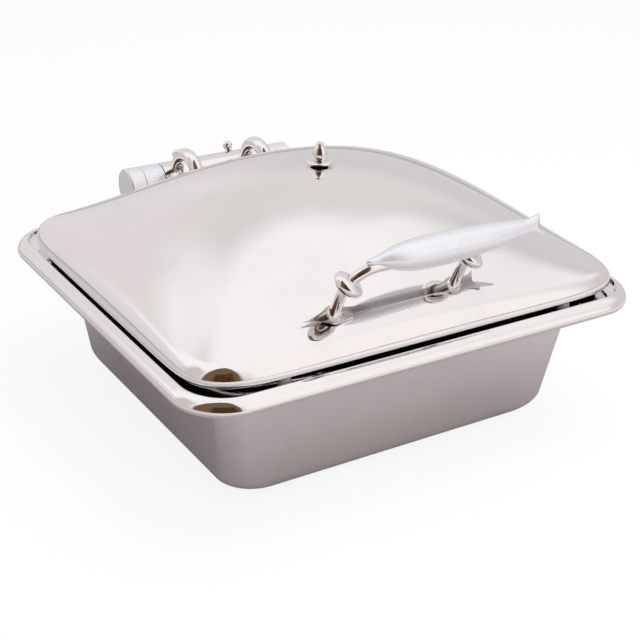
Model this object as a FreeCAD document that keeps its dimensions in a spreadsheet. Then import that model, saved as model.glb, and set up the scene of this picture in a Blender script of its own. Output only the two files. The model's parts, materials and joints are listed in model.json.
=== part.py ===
import FreeCAD, Part
import math
import os

import Sketcher

V = FreeCAD.Vector
doc = FreeCAD.newDocument("chafer")
sheet = doc.addObject("Spreadsheet::Sheet", "Sizes")
nodes = {}
sizesUsed = []


class Size:
    # A number together with the spreadsheet expression that gives it.
    def __init__(self, value, text):
        self.value = float(value)
        self.text = text

    def join(self, sign, other, value):
        return Size(value, f"({self.text} {sign} {other.text})")

    def __add__(self, other):
        other = asSize(other)
        return self.join("+", other, self.value + other.value)

    def __sub__(self, other):
        other = asSize(other)
        return self.join("-", other, self.value - other.value)

    def __mul__(self, other):
        other = asSize(other)
        return self.join("*", other, self.value * other.value)

    def __truediv__(self, other):
        other = asSize(other)
        return self.join("/", other, self.value / other.value)

    def __pow__(self, other):
        other = asSize(other)
        return self.join("^", other, self.value ** other.value)

    def __neg__(self):
        return asSize(0) - self

    def __radd__(self, other):
        return asSize(other) + self

    def __rsub__(self, other):
        return asSize(other) - self

    def __rmul__(self, other):
        return asSize(other) * self

    def __rtruediv__(self, other):
        return asSize(other) / self

    def __rpow__(self, other):
        return asSize(other) ** self


def asSize(number):
    if isinstance(number, Size):
        return number
    return Size(number, f"({float(number):.6f})" if number < 0 else f"{float(number):.6f}")


def size(name, value):
    # One row of the sheet: the name as text, the value in a cell with that name as its alias.
    sizesUsed.append(name)
    row = len(sizesUsed)
    sheet.set(f"A{row}", name)
    sheet.set(f"B{row}", str(value))
    sheet.setAlias(f"B{row}", name)
    return Size(value, f"Sizes.{name}")


# Driving sizes, mm
# Water pan: floor is z = 0, the pan is centred on x = y = 0.
rimHalfX = size("rim_half_x", 215)
rimHalfY = size("rim_half_y", 193)
rimMidY = size("rim_mid_y", -3)
rimCorner = size("rim_corner", 45)
rimEdgeZ = size("rim_edge_z", 117)
rimTopZ = size("rim_top_z", 129.6)
ledgeZ = size("ledge_z", 125.6)
ledgeInset = size("ledge_inset", 9)
wallHalfX = size("wall_half_x", 174)
wallHalfY = size("wall_half_y", 161)
wallCorner = size("wall_corner", 26)
wallDraft = size("wall_draft", 0.14)
baseZ = size("base_z", 6)
baseRound = size("base_round", 28)
baseCornerGrowth = size("base_corner_growth", 10)
panSheet = size("pan_sheet", 1.2)
bumperX = size("bumper_x", 134)
bumperY = size("bumper_y", 173.5)
bumperMidY = size("bumper_mid_y", -5)
bumperRadius = size("bumper_radius", 5.2)
bumperGap = size("bumper_gap", 0.3)

# Feet and induction plate
footX = size("foot_x", 127)
footY = size("foot_y", 112)
footRadius = size("foot_radius", 11)
footTop = size("foot_top", 12)
footWeb = size("foot_web", 3)
footBore = size("foot_bore", 2.2)
footRecess = size("foot_recess", 4.2)
footScrew = size("foot_screw", 2)
footScrewHead = size("foot_screw_head", 3.9)
plateRadius = size("plate_radius", 88)
plateThick = size("plate_thick", 4)

# Food pan: two-thirds gastronorm size, 65 deep
foodHalfX = size("food_half_x", 177)
foodHalfY = size("food_half_y", 162.5)
foodCorner = size("food_corner", 16)
foodWallX = size("food_wall_x", 163)
foodWallY = size("food_wall_y", 149)
foodWallCorner = size("food_wall_corner", 34)
foodDepth = size("food_depth", 65)
foodSheet = size("food_sheet", 0.8)
foodBend = size("food_bend", 20)
foodDraft = size("food_draft", 0.09)

# Lid dome
lidHalfX = size("lid_half_x", 204.5)
lidHalfY = size("lid_half_y", 177.5)
lidMidY = size("lid_mid_y", -6.5)
lidCorner = size("lid_corner", 41)
lidBottomZ = size("lid_bottom_z", 132)
lidHem = size("lid_hem", 2.5)
lidSkirt = size("lid_skirt", 7.1)
lidSkirtWidth = size("lid_skirt_width", 8.4)
lidTopZ = size("lid_top_z", 219.4)
lidShoulder = size("lid_shoulder", 2.09)
lidCrown = size("lid_crown", 1.12)
lidSquare = size("lid_square", 0.18)
lidSheet = size("lid_sheet", 1.2)
lidFlange = size("lid_flange", 8)

# Hinge, on the line (y, z) behind the lid
hingeY = size("hinge_y", 199)
hingeZ = size("hinge_z", 144.5)
hingeRadius = size("hinge_radius", 18)
tubeHalf = size("tube_half", 52)
tubeWall = size("tube_wall", 1.5)
housingEnd = size("housing_end", 73)
capEnd = size("cap_end", 88)
axleRadius = size("axle_radius", 8)
axleHalf = size("axle_half", 83)
axleNutFlats = size("axle_nut_flats", 22)
axleNutThick = size("axle_nut_thick", 5)
bushLength = size("bush_length", 7)
runningGap = size("running_gap", 0.05)
sideGap = size("side_gap", 0.4)
housingBore = size("housing_bore", 15.6)
housingWeb = size("housing_web", 3)
damperRadius = size("damper_radius", 15.4)
damperLength = size("damper_length", 12)
armX = size("arm_x", 37.5)
armRadius = size("arm_radius", 6.2)
armBend = size("arm_bend", 23)
armBendY = size("arm_bend_y", 167)
armBendZ = size("arm_bend_z", 155.5)
armSeatY = size("arm_seat_y", 147)
armSeatZ = size("arm_seat_z", 164.8)
armSeatTilt = size("arm_seat_tilt", 38.2)
armSweep = size("arm_sweep", 160)
armScrew = size("arm_screw", 2.5)
armScrewDepth = size("arm_screw_depth", 3)
ballX = size("ball_x", 28)
ballRadius = size("ball_radius", 4.8)
ballNeck = size("ball_neck", 3)
ballRise = size("ball_rise", 5.4)
ballLean = size("ball_lean", 28)
springRadius = size("spring_radius", 11.5)
springWire = size("spring_wire", 1.1)
springHalf = size("spring_half", 34)
springPitch = size("spring_pitch", 4.25)
bracketThick = size("bracket_thick", 3)
bracketInset = size("bracket_inset", 14)
bracketHalf = size("bracket_half", 70)
bracketLow = size("bracket_low", 76)
bracketShelf = size("bracket_shelf", 107)
bracketY = size("bracket_y", 199)
upstandX = size("upstand_x", 62.5)
upstandHalf = size("upstand_half", 8)
studX = size("stud_x", 50)
studLow = size("stud_low", 86)
studPitch = size("stud_pitch", 14)
studRadius = size("stud_radius", 2.5)
studHole = size("stud_hole", 2.6)
studReach = size("stud_reach", 7)
nutFlats = size("nut_flats", 8)
nutThick = size("nut_thick", 4)
threadFit = size("thread_fit", 0.02)

# Handle on the front slope
handleFootLeft = size("handle_foot_left", -82.6)
handleFootRight = size("handle_foot_right", 29.2)
handleFootY = size("handle_foot_y", -162.6)
handleFootZ = size("handle_foot_z", 161.9)
handleSeatTilt = size("handle_seat_tilt", 39)
handlePlateThick = size("handle_plate_thick", 1.6)
handleScrew = size("handle_screw", 2)
handleScrewDepth = size("handle_screw_depth", 3.2)
leafBlank = size("leaf_blank", 14)
legRadius = size("leg_radius", 4.4)
legLean = size("leg_lean", 23.7)
legRise = size("leg_rise", 20)
legRoot = size("leg_root", 9)
legCollar = size("leg_collar", 6.4)
legBend = size("leg_bend", 26)
beadRadius = size("bead_radius", 13)
beadThick = size("bead_thick", 5.6)
beadAngle = size("bead_angle", 30)
gripX = size("grip_x", -0.7)
gripY = size("grip_y", -181.1)
gripZ = size("grip_z", 207.1)
gripRadius = size("grip_radius", 12.7)

# Finial, turned about the z axis
finialCollar = size("finial_collar", 4.3)
finialDisc = size("finial_disc", 12)
finialDiscZ = size("finial_disc_z", 220.2)
finialButton = size("finial_button", 6.4)
finialTopZ = size("finial_top_z", 238.2)
finialDiscThick = size("finial_disc_thick", 3.4)
finialStud = size("finial_stud", 2.5)
finialBore = size("finial_bore", 2.55)
finialStudLength = size("finial_stud_length", 10)
doc.recompute()


def bind(thing, field, value):
    thing.setExpression(field, asSize(value).text)


def keep(thing, label):
    thing.Label = label
    nodes[label] = thing
    return thing


def newBody(name):
    return doc.addObject("PartDesign::Body", name)


def sketchOn(body, role, name, lift=0):
    plane = [item for item in body.Origin.OriginFeatures if item.Role == role][0]
    sketch = body.newObject("Sketcher::SketchObject", name)
    sketch.AttachmentSupport = [(plane, "")]
    sketch.MapMode = "FlatFace"
    bind(sketch, "AttachmentOffset.Base.z", lift)
    return sketch


def measure(sketch, kind, geometry, point, value):
    value = asSize(value)
    if value.value == 0:
        axis = -2 if kind == "DistanceX" else -1
        sketch.addConstraint(Sketcher.Constraint("PointOnObject", geometry, point, axis))
        return
    index = sketch.addConstraint(Sketcher.Constraint(kind, geometry, point, value.value))
    sketch.setExpression(f"Constraints[{index}]", value.text)


def roundness(sketch, geometry, radius):
    radius = asSize(radius)
    index = sketch.addConstraint(Sketcher.Constraint("Radius", geometry, radius.value))
    sketch.setExpression(f"Constraints[{index}]", radius.text)


def circle(sketch, x, y, radius):
    x, y, radius = asSize(x), asSize(y), asSize(radius)
    ring = sketch.addGeometry(Part.Circle(V(x.value, y.value, 0), V(0, 0, 1), radius.value))
    measure(sketch, "DistanceX", ring, 3, x)
    measure(sketch, "DistanceY", ring, 3, y)
    roundness(sketch, ring, radius)


def roundedRect(sketch, halfX, halfY, corner, midX=0, midY=0):
    halfX, halfY, corner = asSize(halfX), asSize(halfY), asSize(corner)
    arcs = []
    for quarter, (sideX, sideY) in enumerate(((1, 1), (-1, 1), (-1, -1), (1, -1))):
        x = (halfX - corner) * sideX + midX
        y = (halfY - corner) * sideY + midY
        ring = Part.Circle(V(x.value, y.value, 0), V(0, 0, 1), corner.value)
        start = quarter * math.pi / 2
        arc = sketch.addGeometry(Part.ArcOfCircle(ring, start, start + math.pi / 2))
        measure(sketch, "DistanceX", arc, 3, x)
        measure(sketch, "DistanceY", arc, 3, y)
        roundness(sketch, arc, corner)
        arcs.append(arc)
    for quarter in range(4):
        first, second = arcs[quarter], arcs[(quarter + 1) % 4]
        ends = (sketch.getPoint(first, 2), sketch.getPoint(second, 1))
        line = sketch.addGeometry(Part.LineSegment(*ends))
        sketch.addConstraint(Sketcher.Constraint("Tangent", line, 1, first, 2))
        sketch.addConstraint(Sketcher.Constraint("Tangent", line, 2, second, 1))


def arcThrough(start, end, radius, turn):
    # Arc of the given radius from start to end; turn is +1 for anticlockwise.
    middle, across = (start + end) * 0.5, end - start
    reach = math.sqrt(max(radius ** 2 - (across.Length / 2) ** 2, 0))
    side = V(-across.y, across.x, 0).normalize() * reach * turn
    centre = middle + side
    first, last = (start, end) if turn > 0 else (end, start)
    angles = [math.atan2(point.y - centre.y, point.x - centre.x) for point in (first, last)]
    if angles[1] < angles[0]:
        angles[1] += 2 * math.pi
    return Part.ArcOfCircle(Part.Circle(centre, V(0, 0, 1), radius), *angles)


def outline(sketch, corners):
    # A closed outline; a corner is (x, y) or (x, y, radius, turn) where an arc leaves it.
    points = [(asSize(corner[0]), asSize(corner[1])) for corner in corners]
    edges = []
    for index, corner in enumerate(corners):
        start, end = points[index], points[(index + 1) % len(points)]
        start, end = V(start[0].value, start[1].value, 0), V(end[0].value, end[1].value, 0)
        if len(corner) == 2:
            edges.append((sketch.addGeometry(Part.LineSegment(start, end)), 1, 2))
            continue
        radius = asSize(corner[2])
        arc = sketch.addGeometry(arcThrough(start, end, radius.value, corner[3]))
        roundness(sketch, arc, radius)
        edges.append((arc, 1, 2) if corner[3] > 0 else (arc, 2, 1))
    for index, (edge, head, tail) in enumerate(edges):
        following = edges[(index + 1) % len(edges)]
        sketch.addConstraint(Sketcher.Constraint("Coincident", edge, tail, following[0], following[1]))
        measure(sketch, "DistanceX", edge, head, points[index][0])
        measure(sketch, "DistanceY", edge, head, points[index][1])


def loft(body, kind, name, sections):
    # sections: (plane role, height, halfX, halfY, corner, midX, midY)
    sketches = []
    for index, (role, height, halfX, halfY, corner, midX, midY) in enumerate(sections):
        sketch = sketchOn(body, role, f"{name}Section{index}", height)
        roundedRect(sketch, halfX, halfY, corner, midX, midY)
        sketches.append(sketch)
    doc.recompute()
    feature = body.newObject(f"PartDesign::{kind}Loft", name)
    feature.Profile = sketches[0]
    feature.Sections = sketches[1:]
    return feature


def pad(body, sketch, name, length, both=False):
    feature = body.newObject("PartDesign::Pad", name)
    feature.Profile = sketch
    bind(feature, "Length", length)
    feature.Midplane = both
    return feature


def pocket(body, sketch, name, both=True):
    before = body.Shape.Volume
    feature = body.newObject("PartDesign::Pocket", name)
    feature.Profile = sketch
    feature.Type = "ThroughAll"
    feature.Midplane = both
    doc.recompute()
    if body.Shape.Volume >= before:
        raise SystemExit(f"{name} cuts nothing")
    return feature


def turned(name, corners):
    # A piece turned about its own z axis, drawn as (radius, height).
    body = newBody(name)
    sketch = sketchOn(body, "XZ_Plane", f"{name}Profile")
    outline(sketch, corners)
    feature = body.newObject("PartDesign::Revolution", f"{name}Turn")
    feature.Profile = sketch
    feature.ReferenceAxis = (sketch, ["V_Axis"])
    feature.Angle = 360
    return body


def ringPiece(name, inner, outer, low, high):
    return turned(name, [(inner, low), (outer, low), (outer, high), (inner, high)])


def place(thing, x, y, z, direction=V(0, 0, 1)):
    # Puts the piece's own z axis along the direction, with its origin at x, y, z.
    base = V(*(asSize(number).value for number in (x, y, z)))
    thing.Placement = FreeCAD.Placement(base, FreeCAD.Rotation(V(0, 0, 1), direction))
    return thing


def onAxle(thing):
    return place(thing, 0, hingeY, hingeZ, V(1, 0, 0))


def combine(kind, name, base, tool):
    feature = doc.addObject(f"Part::{kind}", name)
    feature.Base = base
    feature.Tool = tool
    return feature


def together(kind, name, pieces):
    feature = doc.addObject(f"Part::{kind}", name)
    if kind == "Compound":
        feature.Links = pieces
    else:
        feature.Shapes = pieces
    return feature


def screw(name, shank, shankLength, head, headHeight):
    # Button-headed screw: head below z = 0, shank above it.
    return turned(name, [(0, -headHeight), (head * 0.6, -headHeight, head * 1.6, 1),
                         (head, -headHeight * 0.35), (head, 0), (shank, 0), (shank, shankLength),
                         (0, shankLength)])


def hexNut(name, acrossFlats, bore, height):
    body = newBody(name)
    sketch = sketchOn(body, "XY_Plane", f"{name}Profile")
    reach = acrossFlats / math.sqrt(3)
    outline(sketch, [(reach * math.cos(math.radians(60 * k)), reach * math.sin(math.radians(60 * k)))
                     for k in range(6)])
    circle(sketch, 0, 0, bore)
    pad(body, sketch, f"{name}Pad", height)
    return body


# Water pan
def panWall(body, kind, name, shrink, bottom, top):
    # Rounded-box wall: a smooth turn up from the flat bottom, then a straight drafted side.
    bend = baseRound - shrink

    def section(height, inset, corner):
        lean = wallDraft * (rimEdgeZ - height) + inset + shrink
        return ("XY_Plane", height, wallHalfX - lean, wallHalfY - lean, corner - shrink, 0, 0)

    turn = []
    for angle in (0, 18, 36, 54, 72, 90):
        rise = bend * (1 - math.cos(math.radians(angle)))
        inset = bend * (1 - math.sin(math.radians(angle)))
        turn.append(section(bottom + rise, inset, wallCorner + baseCornerGrowth * (1 - angle / 90.0)))
    loft(body, kind, f"{name}Bend", turn)
    loft(body, kind, f"{name}Side", [turn[-1], section(top, 0, wallCorner)])


def rimSections(profile, shrink):
    # Level lines of the rolled rim, as (rise above its lower edge, inset from its widest line).
    sections = []
    for rise, inset in profile:
        inset = inset + shrink
        sections.append(("XY_Plane", rimEdgeZ + rise, rimHalfX - inset, rimHalfY - inset,
                         rimCorner - inset, 0, rimMidY))
    return sections


def buildWaterPan():
    body = newBody("WaterPan")
    crest = rimTopZ - rimEdgeZ
    outer = ((0, 1.5), (2.6, 0), (5.5, 0.5), (8.0, 1.9), (10.2, 4.1), (11.6, 6.3), (crest, ledgeInset - 0.3))
    under = ledgeZ - panSheet - rimEdgeZ
    inner = ((-1, 1.9), (2.6, 0), (5.0, 0.6), (under, 3.6))
    loft(body, "Additive", "RimBlock", rimSections(outer, 0))
    loft(body, "Subtractive", "RimHollow", rimSections(inner, panSheet))
    panWall(body, "Additive", "WallBlock", 0, baseZ, ledgeZ)
    panWall(body, "Subtractive", "WallHollow", panSheet, baseZ + panSheet, rimTopZ + 1)
    step = rimHalfX - ledgeInset, rimHalfY - ledgeInset, rimCorner - ledgeInset
    ledge = sketchOn(body, "XY_Plane", "LedgeOutline", ledgeZ)
    roundedRect(ledge, step[0], step[1], step[2], 0, rimMidY)
    cut = body.newObject("PartDesign::Pocket", "Ledge")
    cut.Profile = ledge
    cut.Reversed = True
    bind(cut, "Length", rimTopZ - ledgeZ + 1)
    return keep(body, "water_pan")


def buildPanForm():
    # The pan's outer shape as one solid, used to shape what lies against the wall.
    body = newBody("PanForm")
    panWall(body, "Additive", "PanFormBlock", 0, baseZ, ledgeZ)
    return body


def buildUnderside(panForm):
    low = baseZ - plateThick
    plate = turned("InductionPlate", [(0, low), (plateRadius - 2, low), (plateRadius, low + 1),
                                      (plateRadius, baseZ), (0, baseZ)])
    keep(plate, "induction_plate")
    feet, screws = [], []
    for sideX in (-1, 1):
        for sideY in (-1, 1):
            # The rubber foot is moulded to the pan's bend; its screw head lies in a recess below.
            foot = turned(f"Foot{len(feet)}", [(footBore, footWeb), (footRecess, footWeb), (footRecess, 0),
                                               (footRadius - 1.5, 0), (footRadius, 1.5),
                                               (footRadius - 0.8, footTop), (footBore, footTop)])
            feet.append(place(foot, footX * sideX, footY * sideY, 0))
            pin = turned(f"FootScrew{len(screws)}", [(0, footWeb - 1.8), (footScrewHead - 0.3, footWeb - 1.8),
                                                     (footScrewHead, footWeb - 1.2),
                                                     (footScrewHead, footWeb - 0.1),
                                                     (footScrew, footWeb - 0.1),
                                                     (footScrew, baseZ - 0.05), (0, baseZ - 0.05)])
            screws.append(place(pin, footX * sideX, footY * sideY, 0))
    keep(combine("Cut", "Feet", together("Compound", "FootBlanks", feet), panForm), "feet")
    keep(together("Compound", "FootScrews", screws), "foot_screws")


def buildBumpers():
    cushions = []
    top = lidBottomZ - ledgeZ - bumperGap
    for sideX in (-1, 1):
        for sideY in (-1, 1):
            cushion = turned(f"Bumper{len(cushions)}", [(0, 0), (bumperRadius, 0), (bumperRadius + 0.3, 0.5),
                                                        (bumperRadius - 0.2, top - 0.5),
                                                        (bumperRadius - 1, top), (0, top)])
            cushions.append(place(cushion, bumperX * sideX, bumperY * sideY + bumperMidY, ledgeZ))
    keep(together("Compound", "Bumpers", cushions), "lid_bumpers")


# Food pan
def foodWall(body, kind, name, shrink, top):
    # Straight drafted wall with a round turn into the flat bottom.
    low = ledgeZ + foodSheet - foodDepth + shrink
    bend = foodBend - shrink
    turn = []
    for angle in (0, 22.5, 45, 67.5, 90):
        height = low + bend * (1 - math.cos(math.radians(angle)))
        lean = (ledgeZ - height) * foodDraft + bend * (1 - math.sin(math.radians(angle))) + shrink
        turn.append(("XY_Plane", height, foodWallX - lean, foodWallY - lean, foodWallCorner - shrink, 0, 0))
    rim = ("XY_Plane", top, foodWallX - shrink, foodWallY - shrink, foodWallCorner - shrink, 0, 0)
    loft(body, kind, f"{name}Bend", turn)
    loft(body, kind, f"{name}Side", [turn[-1], rim])


def buildFoodPan():
    body = newBody("FoodPan")
    foodWall(body, "Additive", "FoodBlock", 0, ledgeZ + 0.4)
    flange = sketchOn(body, "XY_Plane", "FlangeOutline", ledgeZ + runningGap)
    roundedRect(flange, foodHalfX, foodHalfY, foodCorner)
    pad(body, flange, "Flange", foodSheet)
    foodWall(body, "Subtractive", "FoodHollow", foodSheet, ledgeZ + 3)
    return keep(body, "food_pan")


# Lid dome
def domeSection(reach, grow):
    # Level line of the pillow dome where it has drawn in to this share of the half sizes. Along
    # each middle line the rise is (1 - u^shoulder)^(1/crown), over a narrow round skirt.
    level = (1 - reach ** lidShoulder) ** (1 / lidCrown)
    both = ((level ** -lidSquare + 1) / 2) ** (-1 / lidSquare)
    diagonal = (1 - both ** lidCrown) ** (1 / lidShoulder)
    corner = (reach - diagonal) * lidHalfY * (2 + math.sqrt(2))
    halfX, halfY = (lidHalfX + grow) * reach, (lidHalfY + grow) * reach
    corner = lidCorner if corner.value < lidCorner.value else corner
    corner = halfY * 0.94 if corner.value > halfY.value * 0.94 else corner
    inset = (1 - reach) * lidHalfX / lidSkirtWidth
    skirt = lidSkirt if inset.value > 1 else lidSkirt * (1 - (1 - inset) ** 2) ** 0.5
    hemTop = lidBottomZ + lidHem
    rise = lidTopZ + grow - hemTop - lidSkirt
    return ("XY_Plane", hemTop + skirt + rise * level, halfX, halfY, corner, 0, lidMidY)


def dome(body, kind, name, grow, low):
    widest = (lidHalfX + grow, lidHalfY + grow, lidCorner, 0, lidMidY)
    hem = [("XY_Plane", low, *widest), ("XY_Plane", lidBottomZ + lidHem, *widest)]
    loft(body, kind, f"{name}Hem", hem)
    turn = [hem[1]] + [domeSection(reach, grow) for reach in (0.9985, 0.994, 0.986, 0.975)]
    loft(body, kind, f"{name}Skirt", turn)
    loft(body, kind, f"{name}Crown", [domeSection(reach, grow) for reach in
                                      (0.975, 0.94, 0.88, 0.8, 0.7, 0.59, 0.47, 0.35, 0.24, 0.14, 0.03)])


def buildDomeForm(name, grow):
    body = newBody(name)
    dome(body, "Additive", name, grow, lidBottomZ)
    return body


def buildDomeShell():
    body = newBody("DomeShell")
    dome(body, "Additive", "DomeOuter", 0, lidBottomZ)
    dome(body, "Subtractive", "DomeInner", -lidSheet, lidBottomZ + lidSheet)
    mouth = sketchOn(body, "XY_Plane", "MouthOutline", lidBottomZ)
    roundedRect(mouth, lidHalfX - lidFlange, lidHalfY - lidFlange, lidCorner - lidFlange, 0, lidMidY)
    cut = body.newObject("PartDesign::Pocket", "Mouth")
    cut.Profile = mouth
    cut.Reversed = True
    bind(cut, "Length", lidSheet * 2)
    return body


# Finial
def buildFinial():
    collar = ringPiece("FinialCollar", finialBore, finialCollar, lidTopZ, finialDiscZ)
    keep(place(collar, 0, lidMidY, 0), "finial_collar")
    discTop = finialDiscZ + finialDiscThick
    disc = turned("FinialDisc", [(finialBore, finialDiscZ), (finialDisc / 2, finialDiscZ),
                                 (finialDisc - 1, discTop - 2.7), (finialDisc, discTop - 1.7),
                                 (finialDisc - 1, discTop - 0.7), (finialDisc / 2, discTop),
                                 (finialBore, discTop)])
    keep(place(disc, 0, lidMidY, 0), "finial_disc")
    stud = lidTopZ - finialStudLength
    button = turned("FinialButton", [
        (0, stud), (finialStud, stud), (finialStud, discTop), (finialButton - 0.5, discTop),
        (finialButton, discTop + 3), (finialButton - 0.2, discTop + 6.5, 6, 1),
        (finialButton - 3.0, finialTopZ - 2), (finialButton - 2.8, finialTopZ), (0, finialTopZ)])
    keep(place(button, 0, lidMidY, 0), "finial_button")
    low = lidTopZ - lidSheet - 1.5
    washer = ringPiece("FinialWasher", finialStud + 0.1, 6, low, low + 1)
    keep(place(washer, 0, lidMidY, 0), "finial_washer")
    nut = hexNut("FinialNut", nutFlats, finialStud + threadFit, nutThick)
    keep(place(nut, 0, lidMidY, low - nutThick - runningGap), "finial_nut")


# Handle
def handleNormal():
    tilt = math.radians(handleSeatTilt.value)
    return V(0, -math.sin(tilt), math.cos(tilt))


def buildHandlePlate(domeForm, plateForm):
    # Leaf outline in the plane of the slope: a long point, a lobe under each leg, a narrow
    # waist between them and a fish tail.
    left, right = handleFootLeft, handleFootRight
    upper = [(left - 27, 0, 60, 1), (left - 7, 5.4, 11, -1), (left + 7, 5.4, 40, 1),
             (left + 24, 3.0), (right - 22, 3.0, 40, 1), (right - 7, 5.2, 12, -1), (right + 8, 5.2, 24, 1),
             (right + 22, 8.6), (right + 18, 0)]
    lower = []
    for before, corner in zip(upper[-3::-1], upper[-2:0:-1]):  # the same corners back along the other side
        lower.append((corner[0], -corner[1], *before[2:]))
    body = newBody("LeafBlank")
    sketch = sketchOn(body, "XY_Plane", "LeafOutline", -leafBlank)
    outline(sketch, upper + lower)
    pad(body, sketch, "Leaf", leafBlank * 2)
    tilt = FreeCAD.Rotation(V(1, 0, 0), handleSeatTilt.value)
    body.Placement = FreeCAD.Placement(V(0, handleFootY.value, handleFootZ.value), tilt)
    skin = combine("Cut", "SlopeSkin", plateForm, domeForm)
    return combine("Common", "LeafSkin", body, skin)


def buildLeg(name, footX, spur):
    # Round rod: straight, then a quarter bend towards +x, then a spur that lies under the grip.
    # Its own frame has z along the lean and x along the grip.
    body = newBody(name)
    rod = sketchOn(body, "XY_Plane", f"{name}Rod", -legRoot)
    circle(rod, 0, 0, legRadius)
    pad(body, rod, f"{name}Straight", legRise + legRoot)
    bendRing = sketchOn(body, "XY_Plane", f"{name}BendRing", legRise)
    circle(bendRing, 0, 0, legRadius)
    spine = sketchOn(body, "XZ_Plane", f"{name}Spine")
    corner = V(legBend.value, legRise.value + legBend.value, 0)
    arc = spine.addGeometry(arcThrough(V(0, legRise.value, 0), corner, legBend.value, -1))
    measure(spine, "DistanceX", arc, 3, legBend)
    measure(spine, "DistanceY", arc, 3, legRise)
    roundness(spine, arc, legBend)
    reach = spine.addGeometry(Part.LineSegment(corner, corner + V(spur, 0, 0)))
    spine.addConstraint(Sketcher.Constraint("Coincident", reach, 1, arc, 1))
    spine.addConstraint(Sketcher.Constraint("Horizontal", reach))
    measure(spine, "DistanceX", reach, 1, legBend)
    measure(spine, "DistanceX", reach, 2, legBend + spur)
    measure(spine, "DistanceY", arc, 2, legRise)
    doc.recompute()
    pipe = body.newObject("PartDesign::AdditivePipe", f"{name}Bend")
    pipe.Profile = bendRing
    pipe.Spine = (spine, ["Edge1", "Edge2"])
    turn = FreeCAD.Rotation(V(1, 0, 0), legLean.value)
    body.Placement = FreeCAD.Placement(V(footX.value, handleFootY.value, handleFootZ.value), turn)
    return body


def legPoint(footX, angle):
    # A point on the bend's centre line and the rod's direction there.
    lean, bend = math.radians(legLean.value), math.radians(angle)
    along, across = legRise.value + legBend.value * math.sin(bend), legBend.value * (1 - math.cos(bend))
    up = V(0, -math.sin(lean), math.cos(lean))
    base = V(footX.value, handleFootY.value, handleFootZ.value)
    return base + up * along + V(across, 0, 0), up * math.cos(bend) + V(math.sin(bend), 0, 0)


def buildBead(name, footX):
    # Pebble-shaped bead threaded on the rod.
    bore, thick = legRadius + threadFit, beadThick
    edge, half = beadRadius - 1.6, thick * 0.55
    body = turned(name, [(bore, -thick), (bore + 1.4, -thick, 11, 1), (edge, -half, 4.5, 1),
                         (edge, half, 11, 1), (bore + 1.4, thick), (bore, thick)])
    point, direction = legPoint(footX, beadAngle.value)
    return place(body, point.x, point.y, point.z, direction)


def buildGrip():
    # Spindle along x: (station, half depth, half height, centre height above gripZ)
    stations = ((-66, 1.8, 1.6, 2.2), (-56, 4.2, 4.0, 1.6), (-43, 8.6, 8.4, 0.8), (-30, 11.4, 11.4, 0.2),
                (-15, 12.6, 12.6, 0), (8, 12.6, 12.7, 0), (28, 12.0, 12.1, 0), (48, 10.8, 10.9, 0.3),
                (66, 8.8, 9.2, 0.6), (80, 6.6, 7.6, 0.9), (90, 3.6, 8.4, 1.0), (101, 1.6, 12.5, 1.0))
    sections = []
    for station, depth, height, rise in stations:
        depth, height = gripRadius * (depth / 12.7), gripRadius * (height / 12.7)
        corner = (depth if depth.value < height.value else height) * 0.96
        sections.append(("YZ_Plane", gripX + station, depth, height, corner, gripY, gripZ + rise))
    body = newBody("GripBlank")
    loft(body, "Additive", "GripLoft", sections)
    notch = sketchOn(body, "XZ_Plane", "TailNotch")
    outline(notch, [(gripX + 92.5, gripZ + 1, 16, 1), (gripX + 104, gripZ + 8), (gripX + 112, gripZ + 16),
                    (gripX + 112, gripZ - 16), (gripX + 106, gripZ - 8.5, 16, 1)])
    doc.recompute()
    pocket(body, notch, "TailCut")
    return body


def buildHandle(domeForm, plateForm):
    normal = handleNormal()
    legs, beads = {}, {}
    for side, footX, spur in (("left", handleFootLeft, 18), ("right", handleFootRight, 6)):
        legs[side] = buildLeg(f"Leg{side.title()}", footX, spur)
        beads[side] = buildBead(f"Bead{side.title()}", footX)
    screws, washers, holes, collars = [], [], [], []
    for side, footX in (("left", handleFootLeft), ("right", handleFootRight)):
        seat = V(footX.value, handleFootY.value, handleFootZ.value)
        inside = seat - normal * handleScrewDepth.value
        pin = screw(f"HandleScrew{side}", handleScrew, handleScrew * 5, handleScrew * 2, handleScrew * 1.2)
        screws.append(place(pin, inside.x, inside.y, inside.z, normal))
        ring = ringPiece(f"HandleWasher{side}", handleScrew + 0.1, 5.5, 0.05, 0.95)
        washers.append(place(ring, inside.x, inside.y, inside.z, normal))
        hole = ringPiece(f"HandleHole{side}", 0, handleScrew + 0.1, -5, handleScrewDepth + 4)
        holes.append(place(hole, inside.x, inside.y, inside.z, normal))
        collar = turned(f"HandleCollar{side}", [(0, -6), (legCollar, -6), (legCollar, 1.9),
                                                (legRadius + 0.6, 5), (0, 5)])
        collars.append(place(collar, seat.x, seat.y, seat.z, normal))
    seats = together("Compound", "HandleHoles", holes)
    keep(combine("Cut", "HandlePlate", buildHandlePlate(domeForm, plateForm), seats), "handle_plate")
    rods = []
    for index, side in enumerate(("left", "right")):
        trimmed = combine("Cut", f"LegFoot{side}", together("MultiFuse", f"LegCollar{side}",
                                                            [legs[side], collars[index]]), plateForm)
        bored = combine("Cut", f"LegBored{side}", trimmed, screws[index])
        rods.append(keep(bored, f"handle_leg_{side}"))
        keep(combine("Cut", f"BeadFit{side}", beads[side], legs[side]), f"handle_bead_{side}")
    legPair = together("Compound", "LegPair", [legs["left"], legs["right"]])
    grip = combine("Cut", "GripFit", buildGrip(), legPair)
    beadPair = together("Compound", "BeadPair", [beads["left"], beads["right"]])
    keep(combine("Cut", "Grip", grip, beadPair), "handle_grip")
    keep(together("Compound", "HandleScrews", screws), "handle_screws")
    keep(together("Compound", "HandleWashers", washers), "handle_washers")
    return holes


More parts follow.
